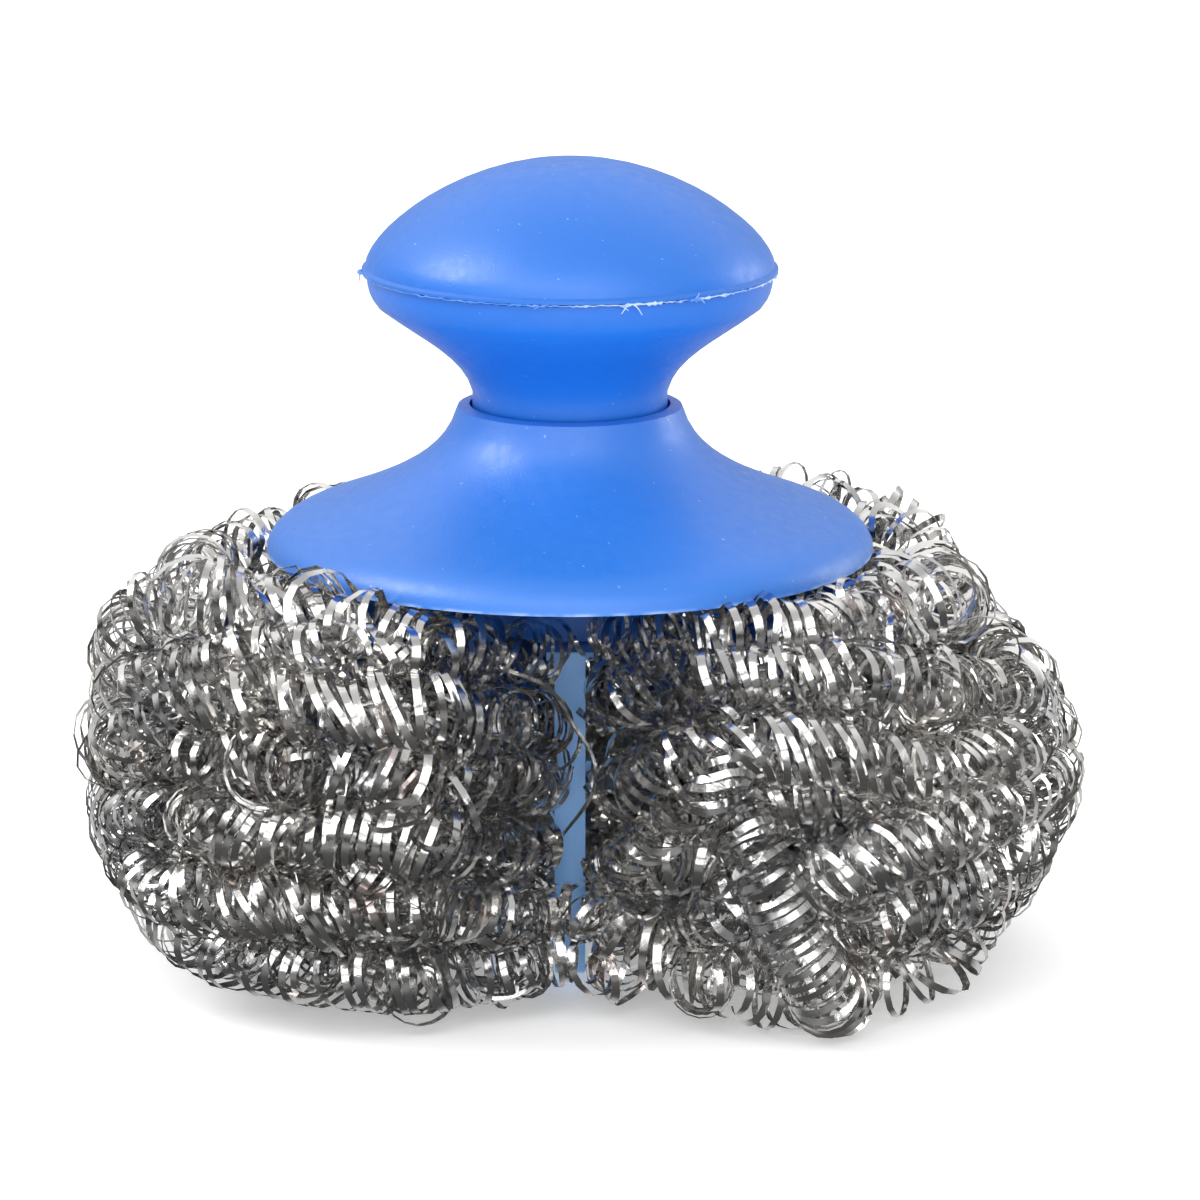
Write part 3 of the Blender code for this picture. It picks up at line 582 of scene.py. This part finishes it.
def outer_size(turn):
    """Half length and half depth of the hank's outer turn at a height in turns."""
    from_middle = abs(turn - TOP_TURN / 2) / (TOP_TURN / 2)
    swell = 1.0 - END_TAPER * from_middle ** TAPER_POWER
    return HALF_LENGTH * swell - ROPE_RADIUS, HALF_DEPTH * swell - ROPE_RADIUS


def rope_state(angle):
    """Turn height and layer (0 outer, 1 inner) of the rope at a travelled angle."""
    turn, layer = 0.0, 0.0
    for lap in range(TURNS_HIGH):
        front = FRONT_MIDDLE + lap * FULL_TURN
        length, depth = outer_size(min(lap + 0.5, TOP_TURN))
        away = length * math.sin(min(max(angle - front, 0.0), math.pi / 2))
        run = away + depth * smooth_step(away, SPREAD_START, SPREAD_START + SPREAD_LENGTH)
        tilt = smooth_step(run, SPREAD_START, CLIMB_REACH + depth) * math.pi / 2
        back = DESCENT_START + (TURNS_HIGH + lap) * FULL_TURN
        if lap < TOP_TURN:
            turn += 1.0 - math.cos(tilt) - smooth_step(angle, back, back + DESCENT_SWEEP)
        else:
            layer = math.sin(tilt)
    return turn, layer


def rope_point(angle):
    """Centre and radius of the rope at a travelled angle."""
    turn, layer = rope_state(angle)
    outer_length, outer_depth = outer_size(turn)
    end_length, end_depth = outer_size(TOP_TURN)
    half_length = outer_length + layer * (end_length - ROPE_PITCH - outer_length)
    half_depth = outer_depth + layer * (end_depth - ROPE_PITCH - LAYER_INSET - outer_depth)
    x = half_length * math.cos(angle)
    away = abs(x)
    start = SPREAD_START + layer * LAYER_LAG
    widest = start + SPREAD_LENGTH
    spread = smooth_step(away, start, widest)
    past_widest = max(away - widest, 0.0) / (half_length - widest)
    column = OUTER_COLUMN + layer * (INNER_COLUMN - OUTER_COLUMN)
    y = (1.0 - spread) * column + spread * half_depth * math.sqrt(max(1.0 - past_widest ** 2, 0.0))
    thickness = 1.0 - layer * LAYER_THINNING
    low = WAIST_HEIGHT + STRAND_RADIUS + turn * STRAND_PITCH
    high = LOWEST_ROPE * thickness + turn * ROPE_PITCH
    fan_start = SPREAD_START + layer * (INNER_FAN_START - SPREAD_START)
    z = low + (high - low) * smooth_step(away, fan_start, fan_start + FAN_LENGTH)
    swollen = smooth_step(away, fan_start + SWELL_LAG, fan_start + SWELL_LAG + SWELL_LENGTH)
    radius = thickness * (STRAND_RADIUS + (ROPE_RADIUS - STRAND_RADIUS) * swollen)
    return x, math.copysign(y, math.sin(angle)), z, radius


def kept_in(line, radius=COIL_RADIUS):
    """Draws a route in and down to the hank's own outline, as both show from in front."""
    x, y, z = line.T
    right = x > 0.0
    nearer = 1.0 + y / CAMERA_AWAY
    out = np.abs(x) / nearer
    seen = z + y * math.tan(CAMERA_DOWN)
    tops = np.where(right, np.interp(out, PLACES_OUT, RIGHT_TOPS),
                    np.interp(out, PLACES_OUT, LEFT_TOPS))
    drop = DRAWN_BACK * np.maximum(seen - tops + radius, 0.0)
    height = seen - drop
    widths = np.where(right, np.interp(height, HEIGHTS, RIGHT_WIDTHS),
                      np.interp(height, HEIGHTS, LEFT_WIDTHS))
    line[:, 2] -= drop
    line[:, 0] -= np.sign(x) * DRAWN_BACK * np.maximum(np.abs(x) - widths * nearer + radius, 0.0)
    return line


def hank_route(rng):
    """The whole rope, its front and back runs drawn in behind the ropes that lie over them."""
    route = np.array([rope_point(angle) for angle in np.linspace(ROUTE_START, ROUTE_END, ROUTE_POINTS)])
    points, radii = route[:, :3], route[:, 3]
    away = np.abs(points[:, 0])
    points[:, 1] *= RUN_DEPTH + DEPTH_REGAINED * smooth_step(away, *DEPTH_PLACES)
    free = smooth_step(away, *ROUTE_WANDER_PLACES)
    along = lengths_along(points)
    for axis, most in enumerate(ROUTE_WANDER):
        points[:, axis] += most * free * smooth_noise(rng, along, ROUTE_WANDER_LENGTH)
    points[:, 0] += RIGHT_SHIFT * smooth_step(away, *SHIFT_PLACES)
    low_left = smooth_step(-points[:, 0], *LIFT_PLACES) * (1.0 - smooth_step(points[:, 2], *LIFT_HEIGHTS))
    points[:, 2] += LOW_LEFT_LIFT * low_left
    return kept_in(points), radii * COIL_RADIUS / ROPE_RADIUS


def front_depth(x, z):
    """How far in front of the middle the hank's face lies, in mm."""
    full = FACE_DEPTH - FACE_CURVE * ((z - FACE_MIDDLE) / FACE_HALF_HEIGHT) ** 2
    near = NOTCH_DEPTH + (full - NOTCH_DEPTH) * smooth_step(abs(x), 0.0, LOBE_START)
    past = np.clip((abs(x) - LOBE_START) / LOBE_LENGTH, 0.0, 1.0)
    return near * np.sqrt(np.maximum(1.0 - past ** LOBE_POWER, 0.0))


def face_line(flat_points):
    """A smooth line through (x, z) points, laid on the hank's face."""
    line = smooth_line([(x, 0.0, z) for x, z in flat_points])
    line[:, 1] = -front_depth(line[:, 0], line[:, 2])
    return line


def face_route(rng, proud, flat_points, side, stir):
    """A rope that lies on the hank's face. side is -1 in front and 1 behind, where x turns over too."""
    line = face_line(flat_points)
    along = lengths_along(line)
    line[:, 1] -= np.linspace(*proud, len(line)) if isinstance(proud, tuple) else proud
    from_end = np.minimum(along, along[-1] - along)
    line[:, 1] += END_TUCK * (1.0 - smooth_step(from_end, 0.0, TUCK_LENGTH))
    if side > 0:
        line[:, :2] *= -1.0
    for axis, most in enumerate(FACE_WANDER):
        line[:, axis] += stir * most * smooth_noise(rng, along, FACE_WANDER_LENGTH)
    from_waist = smooth_step(np.abs(line[:, 0]), *SIZE_PLACES)
    return kept_in(line), COIL_RADIUS * (WAIST_SIZE + SIZE_REGAINED * from_waist)


def end_on_coils(rng):
    """Short coils that turn out towards the front, beside the clamp's strap and on the lobes."""
    strips = []
    for x, z, radius, out, across, rise in END_ON_COILS:
        bend = (x + BEND_SHARE * across, BEND_DEPTH - out, z + BEND_SHARE * rise)
        line = smooth_line([(x, -out, z), bend, (x + across, END_ON_DEPTH - out, z + rise)])
        strips.append(coil(rng, line, np.full(len(line), radius), **END_ON_WINDING))
    return strips


def free_strips():
    """Single lengths of strip, each a plain ribbon along its own line."""
    strips = []
    for proud, turned, flat_points in FREE_STRIPS:
        line = face_line(flat_points)
        line[:, 1] -= proud
        share = np.linspace(0.0, 1.0, len(line))
        line[:, 1] += FREE_END_TUCK * (2.0 * share - 1.0) ** 4
        run = unit(np.gradient(line, axis=0))
        across = unit(np.cross(run, (0.0, -1.0, 0.0)))
        turn = (turned[0] + (turned[1] - turned[0]) * share)[:, None]
        flat = np.cos(turn) * across + np.sin(turn) * np.cross(run, across)
        half = 0.5 * STRIP_WIDTH * flat
        strips.append(np.stack((line - half, line + half, line - STRIP_CROWN * np.cross(run, flat)), axis=1))
    return strips


def loose_loops(rng):
    """Single loops sprung out of the hank's faces, but not over the measured ropes at the front right."""
    strips = []
    for _ in range(LOOP_COUNT):
        side = rng.choice((-1.0, 1.0))
        x, z = rng.uniform(*LOOP_X), rng.uniform(*LOOP_Z)
        if abs(x) < LOOP_FROM_STRAP:
            x += math.copysign(LOOP_FROM_STRAP, x)
        if side < 0.0 and LOOP_FREE_X[0] < x < LOOP_FREE_X[1] and z < LOOP_FREE_BELOW:
            continue
        y = side * (front_depth(x, z) + rng.uniform(*LOOP_PROUD))
        direction = rng.normal(size=3) * rng.choice(LOOP_WAYS)
        direction /= np.linalg.norm(direction)
        length = rng.uniform(*LOOP_LENGTH)
        radius = rng.uniform(*LOOP_RADIUS)
        line = np.array([(x, y, z)] + [(x, y, z) + direction * length * t for t in (0.5, 1.0)])
        line = kept_in(line, LOOP_ROOM * radius)
        pitch = rng.uniform(*LOOP_PITCH)
        strips.append(coil(rng, line, np.full(len(line), radius), pitch, LOOP_LEAN, LOOP_LOOSE))
    return strips


# Floor, lights and camera

def make_floor():
    bpy.ops.mesh.primitive_plane_add(size=FLOOR_SIZE, location=(0.0, 0.0, -FLOOR_DROP))
    floor = bpy.context.object
    floor.name = "floor"
    n = Nodes("pale_floor")
    n.set(Base_Color=n.ramp(n.noise(3.0), (0.3, 0.93), (0.7, 0.95)), Roughness=0.9, Specular_IOR_Level=0.0,
          Emission_Color=(1.0, 1.0, 1.0, 1.0), Emission_Strength=FLOOR_GLOW)
    floor.data.materials.append(n.material)
    floor.visible_glossy = False


def add_light(data):
    light = bpy.data.objects.new(data.name, data)
    bpy.context.scene.collection.objects.link(light)
    return light


def point_from(light, direction):
    """Turns a light so that it shines from a direction."""
    light.rotation_euler = Vector(direction).to_track_quat('Z', 'Y').to_euler()


def area_light(name, place, size, power):
    data = bpy.data.lights.new(name, 'AREA')
    data.shape = 'RECTANGLE'
    data.size, data.size_y = size
    data.energy = power
    light = add_light(data)
    light.location = place
    point_from(light, np.array(place) - np.array(AIM))
    return light


def make_world():
    """A studio whose brightness depends on height, with more of it behind."""
    world = bpy.data.worlds.new("studio")
    world.use_nodes = True
    tree = world.node_tree
    direction = tree.nodes.new("ShaderNodeTexCoord")
    parts = tree.nodes.new("ShaderNodeSeparateXYZ")
    total = tree.nodes.new("ShaderNodeMath")
    tree.links.new(direction.outputs["Generated"], parts.inputs[0])
    tree.links.new(total.outputs[0], tree.nodes["Background"].inputs["Color"])
    for place, (part, stops) in enumerate((("Z", STUDIO_BY_HEIGHT), ("Y", STUDIO_BEHIND))):
        share = tree.nodes.new("ShaderNodeMath")
        share.operation = 'MULTIPLY_ADD'
        share.inputs[1].default_value = share.inputs[2].default_value = 0.5
        tree.links.new(parts.outputs[part], share.inputs[0])
        ramp = add_ramp(tree, stops)
        tree.links.new(share.outputs[0], ramp.inputs["Fac"])
        tree.links.new(ramp.outputs["Color"], total.inputs[place])
    bpy.context.scene.world = world


def make_lights():
    sun = bpy.data.lights.new("overhead", 'SUN')
    sun.energy = SUN_STRENGTH
    sun.angle = SUN_WIDTH
    point_from(add_light(sun), SUN_DIRECTION)
    for name, place, size, power in FRONT_LIGHTS:
        area_light(name, place, size, power)
    for name, degrees in UPRIGHT_LIGHTS:
        turn = math.radians(degrees)
        place = (UPRIGHT_AWAY * math.sin(turn), -UPRIGHT_AWAY * math.cos(turn), UPRIGHT_HEIGHT)
        area_light(name, place, UPRIGHT_SIZE, UPRIGHT_POWER)
    for name, place, size, power in SIDE_LIGHTS:
        area_light(name, place, size, power).visible_diffuse = name != SHEEN_LIGHT
    view = bpy.context.scene.view_settings
    view.view_transform = 'Standard'
    view.look = 'None'


def make_camera():
    data = bpy.data.cameras.new("camera")
    data.sensor_width = SENSOR
    data.lens = LENS
    data.shift_x = SHIFT_X
    data.clip_start = NEAREST_SEEN
    camera = bpy.data.objects.new("camera", data)
    bpy.context.scene.collection.objects.link(camera)
    camera.location = (0.0, -CAMERA_AWAY * MM, (RIM_HEIGHT + CAMERA_ABOVE_RIM) * MM)
    camera.rotation_euler = (math.pi / 2 - CAMERA_DOWN, 0.0, 0.0)
    bpy.context.scene.camera = camera


# The object

def smoothing():
    """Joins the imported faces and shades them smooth, apart from sharp folds."""
    group = bpy.data.node_groups.new("smooth_faces", 'GeometryNodeTree')
    group.interface.new_socket("Geometry", in_out='INPUT', socket_type='NodeSocketGeometry')
    group.interface.new_socket("Geometry", in_out='OUTPUT', socket_type='NodeSocketGeometry')
    given, made = group.nodes.new("NodeGroupInput"), group.nodes.new("NodeGroupOutput")
    merge = group.nodes.new("GeometryNodeMergeByDistance")
    merge.inputs["Distance"].default_value = JOIN_DISTANCE
    normals = group.nodes.new("GeometryNodeSetMeshNormal")
    normals.inputs["Remove Custom"].default_value = True
    normals.inputs["Face Sharpness"].default_value = False
    fold = group.nodes.new("GeometryNodeInputMeshEdgeAngle")
    sharp = group.nodes.new("FunctionNodeCompare")
    sharp.operation = 'GREATER_THAN'
    sharp.inputs[1].default_value = SHARP_FOLD
    for source, target in ((fold.outputs[0], sharp.inputs[0]), (given.outputs[0], merge.inputs[0]),
                           (merge.outputs[0], normals.inputs["Mesh"]), (normals.outputs[0], made.inputs[0]),
                           (sharp.outputs[0], normals.inputs["Edge Sharpness"])):
        group.links.new(source, target)
    return group


def dress_plastic():
    smooth = smoothing()
    looks = {
        "knob_cap": plastic("knob_blue", (0.012, 0.150, 0.60), (0.009, 0.140, 0.57)),
        "knob_body": plastic("stem_blue", (0.006, 0.155, 0.66), (0.005, 0.145, 0.63)),
        # The base's blue is whitened a little beyond the knob's: painted sheen in its colour
        "base_bell": plastic("base_blue_painted_sheen", (0.024, 0.170, 0.62), (0.019, 0.160, 0.59), RIM_HEIGHT),
        # The strap's own duller blue, made much paler as painted light against the shade under the base
        "clamp_yoke": plastic("strap_blue_painted_light", (0.26, 0.54, 0.98), (0.22, 0.47, 0.92)),
    }
    for name, material in looks.items():
        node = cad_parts[name]
        for slot in node.material_slots:
            slot.material = material
        node.modifiers.new("smooth_faces", 'NODES').node_group = smooth


def make_steel():
    material = steel("bright_strip")
    rng = np.random.default_rng(SEED)
    points, radii = hank_route(rng)
    half = len(points) // 2
    pieces = []
    for name, part in (("coil_outer", slice(half + 1)), ("coil_inner", slice(half, None))):
        strip = coil(rng, points[part], radii[part], **ROUTE_WINDING)
        pieces.append(strip_object(name, [strip], material))
    for name, side, stir in FACES:
        strips = []
        for proud, kind, flat_points in FRONT_ROPES:
            if side > 0 and max(z for _, z in flat_points) > BACK_HIGHEST:
                continue
            winding = dict(WINDINGS[kind])
            strands = winding.pop("strands", 1)
            size = winding.pop("size")
            line, radii = face_route(rng, proud, flat_points, side, stir)
            for k in range(strands):
                strips.append(coil(rng, line, radii * size, start=FULL_TURN * k / strands, **winding))
        pieces.append(strip_object(name, strips, material))
    strays = loose_loops(rng) + end_on_coils(rng) + free_strips()
    pieces.append(strip_object("coil_strays", strays, material))
    for piece in pieces:
        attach(piece, "scourer")
        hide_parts("steel_hank")


def weld_lines(rng):
    """The bead round the knob's widest place and its whiskers, each as points and radii in mm."""
    count = WELD_STEPS + 1
    angle = np.linspace(0.0, FULL_TURN, count)
    right_front = np.exp(-((angle - math.radians(BEADING_PLACE)) / BEADING_SPREAD) ** 2)
    beads = np.abs(rng.normal(size=count)) * (rng.random(count) < BEADING_SHARE)
    thick = WELD_THICKNESS + (BEADING + BEADING_ADDED * right_front) * beads
    out = WELD_RADIUS + WELD_WAVER * rng.normal(size=count)
    height = WELD_HEIGHT + WELD_WAVER * rng.normal(size=count)
    tab = np.exp(-((angle - math.radians(TAB_PLACE)) / TAB_SPREAD) ** 2)
    out, thick = out + TAB_OUT * tab, thick + TAB_THICKNESS * tab
    for values in (thick, out, height):
        values[-1] = values[0]
    lines = [(np.column_stack((out * np.cos(angle), out * np.sin(angle), height)), thick)]
    for degrees, across, up in WHISKERS:
        at = math.radians(degrees)
        outward = np.array((math.cos(at), math.sin(at), 0.0))
        sideways = np.array((-math.sin(at), math.cos(at), 0.0))
        root = WHISKER_ROOT * outward + (0.0, 0.0, WELD_HEIGHT)
        bend = root + BEND_OUT * outward + BEND_ACROSS * across * sideways + (0.0, 0.0, BEND_UP * up)
        end = root + END_OUT * outward + across * sideways + (0.0, 0.0, up)
        path = smooth_line([root, bend, end], 5)
        lines.append((path, np.linspace(WHISKER_THICKNESS, WHISKER_TIP, len(path))))
    return lines


def make_weld_flash():
    """Tubes along the weld's lines, in one mesh."""
    vertices, faces, sides = [], [], WELD_SIDES
    for path, radii in weld_lines(np.random.default_rng(SEED + 1)):
        _, normals, others = carried_frames(path)
        first = len(vertices)
        for centre, radius, normal, other in zip(path, radii, normals, others):
            for k in range(sides):
                turn = FULL_TURN * k / sides
                vertices.append((centre + radius * (math.cos(turn) * normal + math.sin(turn) * other)) * MM)
        for i in range(len(path) - 1):
            for k in range(sides):
                a, b = first + i * sides + k, first + i * sides + (k + 1) % sides
                faces.append((a, b, b + sides, a + sides))
        faces.append(tuple(first + k for k in reversed(range(sides))))
        faces.append(tuple(len(vertices) - sides + k for k in range(sides)))
    mesh = bpy.data.meshes.new("weld_flash")
    mesh.from_pydata(vertices, [], faces)
    mesh.shade_smooth()
    piece = linked_piece("weld_flash", mesh, weld_plastic("weld_pale"))
    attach(piece, "knob")


make_camera()
make_floor()
make_world()
make_lights()
dress_plastic()
make_steel()
make_weld_flash()
